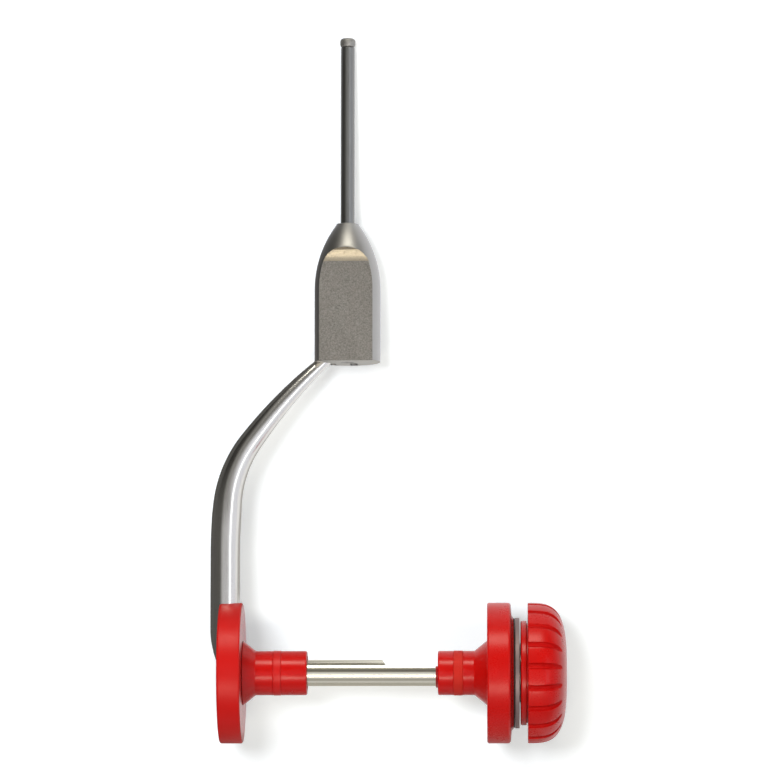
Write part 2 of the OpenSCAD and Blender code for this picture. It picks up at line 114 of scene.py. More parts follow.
# How far the arm shifts across and along for each millimetre that its thin end drops
ARM_SHIFT = (-0.25, 0.2)

# Reach of cutters past what they cut, and the distance at which points are merged
CUTTER_REACH = 20.0
WELD = 0.0002


# Sizes and colours that a user would change

def length(name, text, value):
    return bpy.props.FloatProperty(name=name, description=text + ", in millimetres",
                                   default=value, min=0.01, max=200.0)


def turn(name, text, degrees):
    return bpy.props.FloatProperty(name=name, description=text, subtype="ANGLE",
                                   default=math.radians(degrees))


def colour(name, text, value):
    return bpy.props.FloatVectorProperty(name=name, description=text, subtype="COLOR",
                                         size=4, min=0.0, max=1.0, default=value + (1.0,))


class HandleSizes(bpy.types.PropertyGroup):
    tube_d: length("Tube diameter", "Outer diameter of the thread tube", 2.32)
    tube_bore_d: length("Tube bore", "Bore of the thread tube", 1.5)
    tip_d: length("Tip diameter", "Diameter of the ceramic ring", 2.58)
    tip_len: length("Tip length", "Length of the ring's head", 1.7)
    tip_set: length("Tip setting", "Drop of the ring's end below the packed one", 0.14)
    tip_round: length("Tip rounding", "Rounding of the ring's edges", 0.52)
    body_d: length("Body diameter", "Diameter of the body", 11.06)
    body_straight: length("Straight length", "Length of the body's straight part", 12.25)
    body_reach: length("End reach", "Reach of the body's rounded end past the packed one", 0.25)
    ogive_len: length("Pointed length", "Length of the body's pointed part", 11.15)
    ogive_r: length("Pointed curve", "Radius of the pointed part's curve", 18.35)
    flat_h: length("Flat height", "Height of the milled flat above the tube's axis", 3.23)
    flat_turn: turn("Flat turn", "Turn of the flat about the tube's axis", 3.5)
    flat_len: length("Flat length", "Length of the flat up to the cutter's run-out", 16.6)
    cutter_r: length("Cutter radius", "Radius of the run-out", 3.4)
    eyelet_bore_d: length("Eyelet bore", "Diameter of the eyelet's hole", 0.7)
    arm_d: length("Arm diameter", "Diameter of the arm at its full size", 4.92)
    arm_top_d: length("Arm's thin end", "Diameter of the arm's end in the body", 2.2)
    arm_drop: length("Arm's drop", "Drop of the arm's thin end towards the body's back", 2.1)
    arm_thinning: length("Arm's thinning", "What the thin end's radius lacks from its taper", 0.28)
    arm_fade: length("Drop length", "Length over which the arm drops and thins", 24.0)
    arm_let_in: length("Arm's let-in end", "Length of the arm's untapered end in the body", 3.5)
    arm_taper: length("Taper length", "Length over which the arm tapers", 33.6)
    toe_h: length("Toe height", "Height of the toe's curl above the spool axis", 7.5)
    toe_r: length("Toe curl", "Centre radius of the toe's curl", 12.9)
    toe_turn: turn("Toe turn", "Turn of the toe's curl", 62.0)
    arm_straight: length("Arm's straight part", "Length of the arm's straight part", 12.7)


class SpoolSizes(bpy.types.PropertyGroup):
    edge_round: length("Disc edge", "Rounding of the discs' edges", 0.35)
    cone_len: length("Cone length", "Length of each hub's cone", 2.1)
    cone_d: length("Cone diameter", "Base diameter of each hub's cone", 10.8)
    right_boss: length("Right boss", "Length of the right boss", 6.1)
    flange_t: length("Flange thickness", "Thickness of the hub's flange", 3.9)
    pad_d: length("Raised face", "Diameter of the flange's raised face", 18.3)
    grip_depth: length("Grip groove", "Depth of the grip rings' grooves", 0.4)
    shaft_d: length("Shaft diameter", "Diameter of the shaft", 4.46)
    round_reach: length("Round reach", "Length of the shaft's round part", 23.2)
    runout: length("Run-out", "Length of the flat's slanted run-out", 0.96)
    shaft_flat: length("Shaft flat", "Height of the shaft's flat above its axis", 0.8)
    nose_flat: length("Nose flat", "Height of the nose's flat above the axis", 1.05)
    nose_d: length("Nose diameter", "Diameter of the nose in front of the boss", 4.9)
    nose_lip: length("Nose lip", "Length of the nose in front of the boss", 0.35)
    core_d: length("Slide tube", "Outer diameter of the slide tube", 5.24)
    thread_d: length("Thread", "Diameter of the slide tube's threaded end", 6.0)


class KnobSizes(bpy.types.PropertyGroup):
    collar_len: length("Collar length", "Length of the knob's collar", 1.2)
    collar_d: length("Collar diameter", "Diameter of the knob's collar", 17.4)
    dome_power: bpy.props.FloatProperty(name="Dome squareness", default=3.45, min=2.0, max=6.0,
                                        description="2 is an ellipse, more is squarer")
    ribs: bpy.props.IntProperty(name="Ribs", description="Number of ribs round the knob",
                                default=20, min=8, max=40)
    groove_w: length("Groove width", "Width of the groove between two ribs", 1.05)
    groove_depth: length("Groove depth", "Depth of the groove", 0.38)
    groove_end: length("Groove end", "Distance from the axis at which the grooves run out", 8.9)
    groove_fade: length("Groove fade", "Length over which a groove gets shallower", 2.4)
    first_groove: turn("First groove", "Place of one groove, from the front", 3.4)


class Finishes(bpy.types.PropertyGroup):
    red: colour("Red", "Moulded red plastic", (0.56, 0.0025, 0.0012))
    # Groove red is darker than the red: painted shade in the knob's grooves
    groove_shade_red: colour("Groove red", "Plastic in the knob's grooves", (0.52, 0.001, 0.0006))
    dark_red: colour("Dark red", "Moulded plastic of the key nose", (0.36, 0.004, 0.003))
    grip_red: colour("Grip red", "Rubber of the grip rings", (0.58, 0.018, 0.010))
    steel: colour("Steel", "Polished steel of the arm", (0.72, 0.71, 0.69))
    satin: colour("Satin steel", "Turned steel of the body", (0.35, 0.345, 0.33))
    turned_end: colour("Turned end", "Steel of the body's turned end", (0.36, 0.345, 0.31))
    # The satin steel's edge colour is a painted sheen: lighter and bluer where the body is seen
    # aslant
    satin_edge_sheen: colour("Satin steel's edge", "Turned steel seen aslant", (0.51, 0.51, 0.53))
    # The run-out's warm tan is a painted warm reflection on the steel
    runout: colour("Run-out", "Cutter's run-out on the body", (0.44, 0.385, 0.29))
    # The stamped steel's pinkish tint is a painted reflection of the red parts beside it
    stamped: colour("Stamped steel with painted red reflection", "Steel of the pressure disc", (0.31, 0.25, 0.25))
    milled: colour("Milled face", "Milled flat of the body", (0.255, 0.25, 0.232))
    nickel: colour("Nickel", "Plating of the shaft", (0.74, 0.71, 0.60))
    tube_grey: colour("Tube grey", "Dark steel of the thread tube", (0.27, 0.275, 0.275))
    ceramic: colour("Ceramic", "Ring in the tube's tip", (0.39, 0.385, 0.375))
    brass: colour("Brass", "Slide tube and nut", (0.66, 0.46, 0.18))
    # The friction disc's near black also paints the shade in the gap between the flange and the
    # pressure disc
    fibre: colour("Friction fibre with painted gap shade", "Friction disc", (0.03, 0.026, 0.026))
    nylon: colour("Nylon", "Washer behind the left hub", (0.72, 0.69, 0.6))
    bounced: colour("Bounced red", "What the red plastic throws on the table", (0.12, 0.07, 0.07))


def handle():
    return bpy.context.scene.holder_handle


def spool():
    return bpy.context.scene.holder_spool


def knob_sizes():
    return bpy.context.scene.holder_knob


def finishes():
    return bpy.context.scene.holder_finishes


# Shaping pieces

def clear_selection():
    if bpy.context.mode != "OBJECT":
        bpy.ops.object.mode_set(mode="OBJECT")
    bpy.ops.object.select_all(action="DESELECT")


def make_active(piece):
    clear_selection()
    piece.select_set(True)
    bpy.context.view_layer.objects.active = piece


def filleted(corners, steps=5):
    """Outline points from (along, radius) corners; a third number rounds a corner by an arc."""
    outline = []
    for i, (along, radius, *rounding) in enumerate(corners):
        corner = Vector((along, radius))
        if not rounding:
            outline.append(corner)
            continue
        back = (Vector(corners[i - 1][:2]) - corner).normalized()
        ahead = (Vector(corners[(i + 1) % len(corners)][:2]) - corner).normalized()
        half = back.angle(ahead) / 2
        inset = rounding[0] / math.tan(half)
        centre = corner + (back + ahead).normalized() * rounding[0] / math.sin(half)
        start = corner + back * inset - centre
        sweep = start.angle_signed(corner + ahead * inset - centre)
        for k in range(steps + 1):
            outline.append(centre + Matrix.Rotation(-sweep * k / steps, 2) @ start)
    return outline


def close_seams():
    """In edit mode: merges doubled points, turns the faces outwards and leaves edit mode."""
    bpy.ops.mesh.select_all(action="SELECT")
    bpy.ops.mesh.remove_doubles(threshold=WELD)
    bpy.ops.mesh.normals_make_consistent(inside=False)
    bpy.ops.object.mode_set(mode="OBJECT")


def settle(name):
    """Names the object that was just added and applies its transform."""
    piece = bpy.context.active_object
    piece.name = name
    piece.data.name = name
    bpy.ops.object.transform_apply(location=True, rotation=True, scale=True)
    return piece


def draw_outline(name, points):
    """An object in edit mode that holds one chain of edges through the points."""
    clear_selection()
    bpy.ops.mesh.primitive_plane_add(size=1.0, location=points[0])
    piece = settle(name)
    bpy.ops.object.mode_set(mode="EDIT")
    bpy.ops.mesh.select_all(action="SELECT")
    bpy.ops.mesh.merge(type="CENTER")
    for here, there in zip(points, points[1:]):
        bpy.ops.mesh.extrude_vertices_move(TRANSFORM_OT_translate={"value": there - here})
    return piece


def turned(name, corners, about="X", steps=128, closed=True):
    """A lathe piece: the outline of (along, radius) corners is spun round the axis."""
    points = [Vector((along, radius, 0.0)) for along, radius in filleted(corners)]
    axis = (1.0, 0.0, 0.0)
    if about == "Y":
        points = [point.yxz for point in points]
        axis = (0.0, 1.0, 0.0)
    if closed:
        points.append(points[0])
    piece = draw_outline(name, points)
    bpy.ops.mesh.select_all(action="SELECT")
    bpy.ops.mesh.spin(steps=steps, angle=math.tau, center=(0.0, 0.0, 0.0), axis=axis)
    close_seams()
    return piece


def ring(name, low, high, inner, outer, rounding, steps=128):
    """A ring about the spool axis with its outer edges rounded."""
    return turned(name, [(low, inner), (low, outer, rounding), (high, outer, rounding),
                         (high, inner)], steps=steps)


def prism(name, points):
    """A cutter whose outline lies across the front way, centred on it."""
    outline = [Vector((x, y, -CUTTER_REACH / 2)) for x, y in points]
    piece = draw_outline(name, outline + outline[:1])
    bpy.ops.mesh.select_all(action="SELECT")
    bpy.ops.mesh.remove_doubles(threshold=WELD)
    bpy.ops.mesh.edge_face_add()
    bpy.ops.mesh.extrude_region_move(
        TRANSFORM_OT_translate={"value": (0.0, 0.0, CUTTER_REACH)})
    close_seams()
    return piece


def block(name, low, high):
    """A plain box between two corners, used as a cutter."""
    clear_selection()
    bpy.ops.mesh.primitive_cube_add(size=1.0, scale=[b - a for a, b in zip(low, high)],
                                    location=[(a + b) / 2 for a, b in zip(low, high)])
    return settle(name)


def round_bar(name, places, radii, width, steps):
    """A round bar through the places, whose radius is its width times the one at each place."""
    clear_selection()
    bpy.ops.curve.primitive_bezier_curve_add()
    piece = bpy.context.active_object
    piece.name = name
    line = piece.data
    line.name = name
    line.splines.clear()
    spline = line.splines.new("POLY")
    spline.points.add(len(places) - 1)
    for point, place, radius in zip(spline.points, places, radii):
        point.co = place + (1.0,)
        point.radius = radius
    line.dimensions = "3D"
    line.bevel_depth = width
    line.bevel_resolution = steps
    line.use_fill_caps = True
    make_active(piece)
    bpy.ops.object.convert(target="MESH")
    piece = bpy.context.active_object
    bpy.ops.object.mode_set(mode="EDIT")
    close_seams()
    return piece


def plug(name, radius, low, high, about="X", at=(0.0, 0.0), steps=96):
    """A plain bar used as a cutter; at is its place across its own axis."""
    clear_selection()
    middle = (low + high) / 2
    if about == "X":
        place, tilt = (middle, at[0], at[1]), (0.0, math.pi / 2, 0.0)
    else:
        place, tilt = (at[0], middle, at[1]), (math.pi / 2, 0.0, 0.0)
    bpy.ops.mesh.primitive_cylinder_add(vertices=steps, radius=radius, depth=high - low,
                                        location=place, rotation=tilt)
    return settle(name)


def apply_tool(piece, kind, **settings):
    """Adds a modifier with its settings to the piece and applies it."""
    make_active(piece)
    tool = piece.modifiers.new(kind.lower(), kind)
    for key, value in settings.items():
        setattr(tool, key, value)
    bpy.ops.object.modifier_apply(modifier=tool.name)


def cut(piece, cutter):
    """Takes the cutter's space out of the piece and throws the cutter away."""
    apply_tool(piece, "BOOLEAN", operation="DIFFERENCE", solver="EXACT", object=cutter)
    bpy.data.objects.remove(cutter)


def soften(piece, width, angle, steps):
    """Rounds the sharp edges a little, as tumbling or moulding does."""
    apply_tool(piece, "BEVEL", width=width, segments=steps, limit_method="ANGLE",
               angle_limit=math.radians(angle))


def join_end_wedges(piece, foot):
    """Joins the thin wedges of a turned end face, so that it shades as one plane."""
    make_active(piece)
    bpy.ops.object.mode_set(mode="EDIT")
    bpy.ops.mesh.select_all(action="DESELECT")
    bpy.ops.object.mode_set(mode="OBJECT")
    for face in piece.data.polygons:
        face.select = abs(face.center.y - foot) < 0.0005
    bpy.ops.object.mode_set(mode="EDIT")
    bpy.ops.mesh.select_mode(type="FACE")
    bpy.ops.mesh.dissolve_limited(angle_limit=0.01)
    bpy.ops.mesh.select_mode(type="VERT")
    bpy.ops.object.mode_set(mode="OBJECT")


def paint(piece, materials, choose):
    """Gives the piece its materials, and each face the one whose number choose returns for it."""
    for material in materials:
        piece.data.materials.append(material)
    for face in piece.data.polygons:
        face.material_index = choose(face)


def set_down(piece, body, node_name, material=None):
    """Lays a finished piece in the holder's frame, shades it, ties it to its body and hides the
    imported node that it stands for.
    """
    if not piece.data.polygons:
        raise RuntimeError(piece.name + " came out with no faces")
    make_active(piece)
    piece.matrix_world = laid @ piece.matrix_world
    bpy.ops.object.transform_apply(location=True, rotation=True, scale=True)
    bpy.ops.object.shade_smooth_by_angle(angle=math.radians(32.0))
    apply_tool(piece, "WEIGHTED_NORMAL", keep_sharp=True)
    if material:
        piece.data.materials.append(material)
    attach(piece, body)
    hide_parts(node_name)


# Finishes

def feed(tree, target, inputs):
    """Links or sets inputs of a node."""
    for key, value in inputs.items():
        if isinstance(value, bpy.types.NodeSocket):
            tree.links.new(value, target.inputs[key])
        else:
            target.inputs[key].default_value = value


def node(tree, kind, inputs=(), **settings):
    """Adds a shader node with its settings and inputs."""
    made = tree.nodes.new("ShaderNode" + kind)
    for key, value in settings.items():
        setattr(made, key, value)
    feed(tree, made, dict(inputs))
    return made


def maths(tree, operation, *values):
    return node(tree, "Math", dict(enumerate(values)), operation=operation).outputs[0]


def times(tree, first, *others):
    """The product of all the values."""
    for other in others:
        first = maths(tree, "MULTIPLY", first, other)
    return first


def rise(tree, value, start, end, low=0.0, high=1.0, **settings):
    """A level that goes from low to high as the value goes from start to end."""
    return node(tree, "MapRange", {"Value": value, "From Min": start, "From Max": end,
                                   "To Min": low, "To Max": high}, **settings).outputs[0]


def noise(tree, place, scale, detail, roughness=0.5):
    """Noise between 0 and 1, whose scale is in waves per metre."""
    return node(tree, "TexNoise", {"Vector": place, "Scale": scale, "Detail": detail,
                                   "Roughness": roughness}).outputs["Fac"]


def swing(tree, value, amount):
    """Noise made to swing about zero, by an amount."""
    return times(tree, maths(tree, "SUBTRACT", value, 0.5), amount)


def bump(tree, height, depth):
    return node(tree, "Bump", {"Height": height, "Distance": depth}).outputs[0]


def blend_colours(tree, factor, first, second):
    return node(tree, "Mix", {0: factor, 6: first, 7: second}, data_type="RGBA").outputs[2]


def object_place(tree):
    return node(tree, "TexCoord").outputs["Object"]


def scaled_tone(tone, *shares):
    """A colour with its red, green and blue each multiplied by a share."""
    return tuple(min(1.0, share * part) for share, part in zip(shares, tone)) + (1.0,)


def new_group(name, inputs):
    """A node group with the given inputs, which gives a colour, a roughness and a normal."""
    tree = bpy.data.node_groups.new(name, "ShaderNodeTree")
    for key, value in inputs.items():
        kind = "NodeSocketColor" if isinstance(value, tuple) else "NodeSocketFloat"
        tree.interface.new_socket(key, in_out="INPUT", socket_type=kind).default_value = value
    for key, kind in (("Colour", "Color"), ("Roughness", "Float"), ("Normal", "Vector")):
        tree.interface.new_socket(key, in_out="OUTPUT", socket_type="NodeSocket" + kind)
    return tree, tree.nodes.new("NodeGroupInput").outputs, tree.nodes.new("NodeGroupOutput")


def moulded_grain_group():
    """Fine eroded grain of an injection mould, with a little unevenness in colour and gloss."""
    tree, given, out = new_group("Moulded grain", {
        "Colour": (0.6, 0.01, 0.01, 1.0), "Deep Colour": (0.4, 0.005, 0.005, 1.0),
        "Grain per metre": 6000.0, "Roughness": 0.36, "Unevenness": 0.3, "Relief": 0.000004})
    place = object_place(tree)
    grain = noise(tree, place, given["Grain per metre"], 3.0, 0.6)
    cloud = noise(tree, place, 260.0, 3.0)
    uneven = maths(tree, "ADD", swing(tree, grain, given["Unevenness"]), swing(tree, cloud, 0.16))
    feed(tree, out, {
        "Colour": blend_colours(tree, times(tree, cloud, 0.5), given["Colour"],
                                given["Deep Colour"]),
        "Roughness": maths(tree, "ADD", given["Roughness"], uneven),
        "Normal": bump(tree, grain, given["Relief"])})
    return tree


def tool_lines_group():
    """Fine lines that a lathe, a polishing belt or a drawing die leaves in metal."""
    tree, given, out = new_group("Tool lines", {
        "Colour": (0.5, 0.5, 0.5, 1.0), "Shade": 0.12, "Along X": 1.0, "Along Y": 1.0,
        "Along Z": 1.0, "Roughness": 0.25, "Spread": 0.14, "Wear": 0.08, "Relief": 0.000002})
    place = object_place(tree)
    stretch = node(tree, "CombineXYZ", {axis: given["Along " + axis] for axis in "XYZ"})
    scaled = node(tree, "VectorMath", {0: place, 1: stretch.outputs[0]}, operation="MULTIPLY")
    lines = noise(tree, scaled.outputs[0], 1.0, 4.0, 0.65)
    smear = noise(tree, place, 180.0, 2.0)
    dark = times(tree, maths(tree, "ABSOLUTE", maths(tree, "SUBTRACT", lines, 0.5)),
                 given["Shade"], 4.0)
    uneven = maths(tree, "ADD", swing(tree, lines, given["Spread"]),
                   swing(tree, smear, given["Wear"]))
    feed(tree, out, {
        "Colour": blend_colours(tree, dark, given["Colour"], (0.0, 0.0, 0.0, 1.0)),
        "Roughness": maths(tree, "ADD", given["Roughness"], uneven),
        "Normal": bump(tree, lines, given["Relief"])})
    return tree


def new_material(name):
    """A new material with its node tree and its shader."""
    material = bpy.data.materials.new(name)
    material.use_nodes = True
    tree = material.node_tree
    return material, tree, next(n for n in tree.nodes if n.type == "BSDF_PRINCIPLED")


def use_group(tree, name, maker, values):
    """The outputs of a shared node group, placed in a material with the material's values."""
    shared = bpy.data.node_groups.get(name) or maker()
    return node(tree, "Group", values, node_tree=shared).outputs


def moulded(name, tone, roughness=0.36, grain=6000.0, relief=0.000004, deep_share=0.72,
            gloss=0.30, uneven=0.3):
    """Moulded plastic or rubber, which throws a duller colour on what lies beside it."""
    if name in bpy.data.materials:
        return bpy.data.materials[name]
    material, tree, shader = new_material(name)
    group = use_group(tree, "Moulded grain", moulded_grain_group, {
        "Colour": tuple(tone), "Deep Colour": scaled_tone(tone, *[deep_share] * 3),
        "Grain per metre": grain, "Roughness": roughness, "Unevenness": uneven,
        "Relief": relief})
    bounced = node(tree, "LightPath").outputs["Is Diffuse Ray"]
    feed(tree, shader, {
        "Base Color": blend_colours(tree, bounced, group["Colour"], tuple(finishes().bounced)),
        "Roughness": group["Roughness"], "Normal": group["Normal"], "Specular IOR Level": gloss})
    return material


def lined_metal(name, tone, roughness, lines, spread=0.14, shade=0.12, relief=0.000002,
                wear=0.08, rim=None):
    """Metal with lines, so many per metre along each axis; rim is a painted sheen, a lighter
    colour blended in where the metal is seen aslant.
    """
    if name in bpy.data.materials:
        return bpy.data.materials[name]
    material, tree, shader = new_material(name)
    group = use_group(tree, "Tool lines", tool_lines_group, {
        "Colour": tuple(tone), "Shade": shade, "Along X": lines[0], "Along Y": lines[1],
        "Along Z": lines[2], "Roughness": roughness, "Spread": spread, "Wear": wear,
        "Relief": relief})
    shown = group["Colour"]
    # The rim colour is a painted sheen, blended in towards grazing view
    if rim:
        facing = node(tree, "LayerWeight", {"Blend": 0.5}).outputs["Facing"]
        shown = blend_colours(tree, facing, shown, tuple(rim))
    feed(tree, shader, {"Base Color": shown, "Roughness": group["Roughness"], "Metallic": 1.0})
    if relief:
        feed(tree, shader, {"Normal": group["Normal"]})
    return material


def milled_metal(name, tone):
    """The dull, pitted face that the end mill left on the body."""
    material, tree, shader = new_material(name)
    place = object_place(tree)
    pits = noise(tree, place, 3800.0, 3.0, 0.7)
    blotch = noise(tree, place, 620.0, 2.0)
    speckled = blend_colours(tree, rise(tree, pits, 0.32, 0.68),
                             scaled_tone(tone, 0.62, 0.62, 0.62),
                             scaled_tone(tone, 1.45, 1.45, 1.45))
    feed(tree, shader, {
        "Base Color": blend_colours(tree, times(tree, blotch, 0.35), speckled,
                                    scaled_tone(tone, 1.1, 0.95, 0.95)),
        "Roughness": rise(tree, pits, 0.0, 1.0, 0.42, 0.62),
        "Normal": bump(tree, pits, 0.000012), "Metallic": 0.85})
    return material


def smooth_red():
    """The bosses and cones, from the polished part of the mould."""
    return moulded("Smooth red plastic", finishes().red, 0.24, 5000.0, 0.000001, uneven=0.08)


def satin_red():
    """The flange and the knob, from the lightly grained part of the mould."""
    return moulded("Satin red plastic", finishes().red, 0.29, 4200.0, 0.000003, gloss=0.26,
                   uneven=0.15)


def coarse_red():
    """The guard disc, from a mould with a coarser grain."""
    return moulded("Coarse red plastic", finishes().red, 0.39, 3600.0, 0.000008)


def glazed_ceramic():
    """The grey ceramic of thread guides, a little mottled."""
    return lined_metal("Glazed ceramic", finishes().ceramic, 0.6, (1800.0,) * 3,
                       spread=0.2, shade=0.3, relief=0.0000006)


def spring_steel():
    return lined_metal("Spring steel", finishes().satin, 0.34, (900.0,) * 3)


# The arm's route

def follow_bend(place, heading, radius, change):
    """The place and heading at the end of one bend; a heading of zero runs up the tube's way."""
    ahead = heading + change
    across = radius * (math.cos(heading) - math.cos(ahead))
    along = radius * (math.sin(ahead) - math.sin(heading))
    return place + Vector((across, along)), ahead


def arm_route():
    """Points of the arm's centre line with the length left to its end, toe first."""
    sizes = handle()
    line_x = along_spool("arm")[0] + sizes.arm_d / 2
    toe_steps = 16
    points = []
    for k in range(toe_steps + 1):
        heading = -sizes.toe_turn * (1 - k / toe_steps)
        points.append(Vector((line_x + sizes.toe_r * (1 - math.cos(heading)),
                              sizes.toe_h + sizes.toe_r * math.sin(heading))))
    place = Vector((line_x, sizes.toe_h + sizes.arm_straight))
    straight_steps = 6
    for k in range(1, straight_steps + 1):
        points.append(Vector((line_x, sizes.toe_h + sizes.arm_straight * k / straight_steps)))
    heading = 0.0
    for radius, degrees, steps in ARM_BENDS:
        change = math.radians(degrees)
        for k in range(1, steps + 1):
            points.append(follow_bend(place, heading, radius, change * k / steps)[0])
        place, heading = follow_bend(place, heading, radius, change)
    points.append(place + Vector((0.0, sizes.arm_let_in)))
    left = [0.0]
    for here, there in zip(reversed(points), list(reversed(points))[1:]):
        left.append(left[-1] + (there - here).length)
    return points, list(reversed(left))


def arm_radius(left):
    sizes = handle()
    share = max(0.0, left - sizes.arm_let_in) / sizes.arm_taper
    return min(sizes.arm_d / 2, sizes.arm_top_d / 2 + (sizes.arm_d - sizes.arm_top_d) / 2 * share)


def arm_bar(name):
    """The arm's full bar; its thin end drops and shifts, so that it still looks in line."""
    sizes = handle()
    points, left = arm_route()
    places, radii = [], []
    for place, rest in zip(points, left):
        fade = max(0.0, 1 - rest / sizes.arm_fade) ** 2
        drop = sizes.arm_drop * fade
        places.append((place.x + ARM_SHIFT[0] * drop, place.y + ARM_SHIFT[1] * drop, -drop))
        radii.append(arm_radius(rest) - sizes.arm_thinning * fade)
    return round_bar(name, places, radii, 1.0, 14)


# Operators, one for each piece or group of like pieces

class AddThreadTube(bpy.types.Operator):
    """Adds the thread tube and the ceramic ring in its tip"""
    bl_idname = "holder.add_thread_tube"
    bl_label = "Thread Tube"

    def execute(self, context):
        sizes = handle()
        outer, bore = sizes.tube_d / 2, sizes.tube_bore_d / 2
        foot, top = end_face("thread_tube", outer), tip_top - sizes.tip_len
        tube = turned("thread_tube_turned", [
            (foot, bore), (foot, outer, 0.05), (top, outer, 0.08), (top, bore)],
            about="Y", steps=64)
        set_down(tube, "holder", "thread_tube", lined_metal(
            "Tube steel", finishes().tube_grey, 0.36, (2600.0, 60.0, 2600.0), spread=0.2))
        ring_r = sizes.tip_d / 2
        end = tip_top - sizes.tip_set
        tip = turned("tip_ring_turned", [
            (top - 2.5, tip_bore_r), (top - 2.5, bore, 0.1), (top, bore),
            (top, ring_r, sizes.tip_round), (end, ring_r, sizes.tip_round),
            (end, tip_bore_r, 0.2)], about="Y", steps=64)
        set_down(tip, "holder", "tip_ring", glazed_ceramic())
        return {"FINISHED"}


class AddBody(bpy.types.Operator):
    """Adds the pointed steel body with its milled flat and the eyelet in its end"""
    bl_idname = "holder.add_body"
    bl_label = "Body"

    def execute(self, context):
        sizes = handle()
        tones = finishes()
        body_r, tube_r, bore_r = sizes.body_d / 2, sizes.tube_d / 2, sizes.tube_bore_d / 2
        foot = end_face("handle_body", body_r) - sizes.body_reach
        shoulder = foot + sizes.body_straight
        top = shoulder + sizes.ogive_len
        seat = end_face("thread_tube", tube_r)
        arc = []
        arc_steps = 28
        for k in range(arc_steps + 1):
            climb = (sizes.ogive_len - 0.2) * k / arc_steps
            inwards = sizes.ogive_r - math.sqrt(sizes.ogive_r ** 2 - climb ** 2)
            arc.append(Vector((shoulder + climb, body_r - inwards)))
        body = turned("body_turned", [
            (foot, EYELET_R), (foot, body_r, 0.12), *arc, (top, arc[-1].y, 0.18), (top, tube_r),
            (seat, tube_r), (seat, bore_r), (foot + EYELET_LEN, bore_r),
            (foot + EYELET_LEN, EYELET_R)], about="Y", steps=160)
        runout = foot + sizes.flat_len
        wide = 2 * body_r
        mill = block("mill_side", (-wide, foot - 2.0, sizes.flat_h),
                     (wide, runout, sizes.flat_h + wide))
        nose = plug("mill_nose", sizes.cutter_r, -2 * wide, 2 * wide, "X",
                    (runout, sizes.flat_h + sizes.cutter_r), 128)
        for cutter in (mill, nose):
            make_active(cutter)
            cutter.rotation_euler = (0.0, -sizes.flat_turn, 0.0)
            bpy.ops.object.transform_apply(rotation=True)
            cut(body, cutter)
        for across, hole_r, reach in SLOTS:
            for drop in (SLOT_TOP, reach):
                cut(body, plug("slot_end", hole_r, foot - 1.0, foot + SLOT_DEPTH, "Y",
                               (across, -drop), 32))
            cut(body, block("slot", (across - hole_r, foot - 1.0, -reach),
                            (across + hole_r, foot + SLOT_DEPTH, -SLOT_TOP)))
        join_end_wedges(body, foot)
        soften(body, 0.2, 30.0, 4)
        normal = Vector((-math.sin(sizes.flat_turn), 0.0, math.cos(sizes.flat_turn)))

        def choose(face):
            """The number of a face's material: turned, milled, run-out or end."""
            height = face.center.dot(normal) - sizes.flat_h
            if face.normal.dot(normal) > 0.9995 and abs(height) < 0.02:
                return 1
            if abs(math.hypot(face.center.y - runout, height - sizes.cutter_r)
                   - sizes.cutter_r) < 0.03:
                return 2
            return 3 if face.normal.y < -0.5 and face.center.y < foot + 0.3 else 0

        paint(body, (
            # The satin steel's rim colour is a painted sheen on the body's sides
            lined_metal("Satin steel", tones.satin, 0.45, (150.0, 4200.0, 150.0), spread=0.10,
                        shade=0.05, relief=0.0000004, rim=tones.satin_edge_sheen),
            milled_metal("Milled steel", tones.milled),
            # The run-out's tan tone is a painted warm reflection
            lined_metal("Run-out steel with painted warm reflection", tones.runout, 0.40, (1700.0,) * 3, spread=0.35,
                        shade=0.3, relief=0.0000012),
            lined_metal("Turned end steel", tones.turned_end, 0.45, (150.0,) * 3, shade=0.05)),
            choose)
        set_down(body, "holder", "handle_body")
        hole_r = sizes.eyelet_bore_d / 2
        inner = foot + EYELET_LEN + sizes.body_reach
        eyelet = turned("eyelet_turned", [
            (foot + 0.05, EYELET_R, 0.05), (inner, EYELET_R), (inner, hole_r),
            (foot + 0.05, hole_r, 0.2)], about="Y", steps=96)
        set_down(eyelet, "holder", "entry_eyelet", glazed_ceramic())
        return {"FINISHED"}


def toe_mill(toe_x, top):
    """The cutter that faces the toe off, from a place on the spool axis up to a height."""
    far_x = toe_x + CUTTER_REACH
    return prism("toe_mill", ((toe_x, -CUTTER_REACH), (far_x, -CUTTER_REACH), (far_x, top),
                              (toe_x, top)))


class AddArm(bpy.types.Operator):
    """Adds the bent, tapered arm"""
    bl_idname = "holder.add_arm"
    bl_label = "Arm"

    def execute(self, context):
        disc_low, disc_high = along_spool("guard_disc")
        arm = arm_bar("arm_drawn")
        cut(arm, toe_mill(disc_high - 0.5, 16.0))
        cut(arm, plug("screw_seat", SCREW_HEAD_R, disc_low - 5.0, disc_low + 0.95))
        set_down(arm, "holder", "arm", lined_metal(
            "Polished steel", finishes().steel, 0.22, (2400.0, 30.0, 2400.0), spread=0.08,
            shade=0.10, relief=0.0000002))
        return {"FINISHED"}


class AddGuardDisc(bpy.types.Operator):
    """Adds the fixed red disc that the arm's toe is let into"""
    bl_idname = "holder.add_guard_disc"
    bl_label = "Guard Disc"

    def execute(self, context):
        low, high, disc_r = round_box("guard_disc")
        edge, shaft_r = spool().edge_round, spool().shaft_d / 2
        recess_r = 3.5
        disc = turned("guard_disc_moulded", [
            (low, SCREW_HEAD_R), (low, disc_r, edge), (high, disc_r, edge),
            (high, recess_r, 0.1), (high - 0.4, recess_r), (high - 0.4, shaft_r),
            (high - 1.4, shaft_r), (high - 1.4, SCREW_HEAD_R)], steps=160)
        pocket = arm_bar("arm_pocket")
        cut(pocket, toe_mill(high - 0.45, 7.0))
        cut(disc, pocket)
        paint(disc, (coarse_red(), smooth_red()), lambda face: int(abs(face.normal.x) > 0.98))
        set_down(disc, "holder", "guard_disc")
        return {"FINISHED"}


